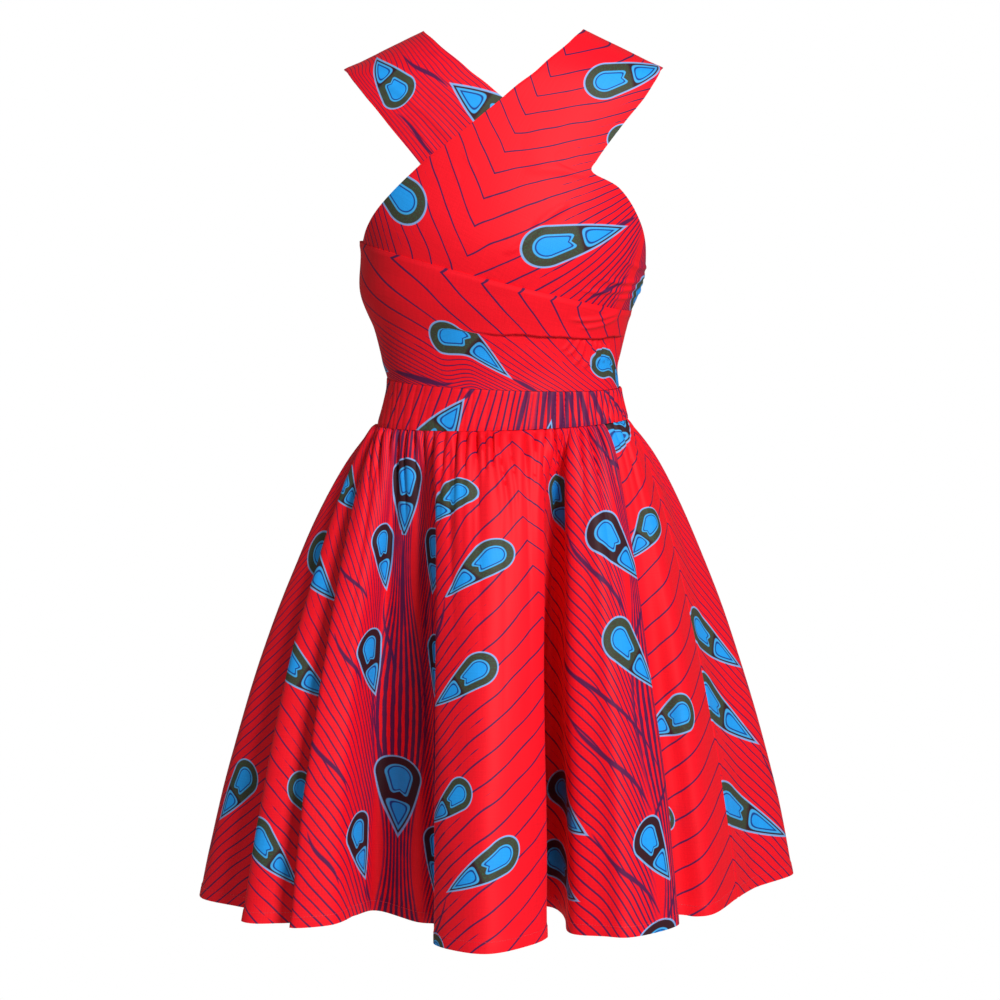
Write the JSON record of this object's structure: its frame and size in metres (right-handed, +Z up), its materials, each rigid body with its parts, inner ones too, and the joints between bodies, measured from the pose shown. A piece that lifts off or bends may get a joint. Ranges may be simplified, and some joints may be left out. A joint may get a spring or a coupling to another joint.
{
  "type": "crossed-strap wrap dress with gathered skirt",
  "caption": "Worn, hollow knee-length dress: crossed wide straps, wrapped midriff, waistband and a full gathered skirt.",
  "frame": {"origin": "midway between the tops of the two straps, where the shoulders hold the dress", "axes": "+Z up, the front faces -Y, +X towards the wearer's left"},
  "size_m": [0.714, 0.5512, 1.0239],
  "materials": {
    "printed_cotton": "waxed plain-weave cotton printed with a red ground, plum lines and blue and olive feather eyes"
  },
  "bodies": {
    "root": {"strap_under": "printed_cotton", "strap_over_bust": "printed_cotton", "midriff_wrap": "printed_cotton", "waistband": "printed_cotton", "skirt_front": "printed_cotton", "skirt_back": "printed_cotton"}
  },
  "joints": []
}
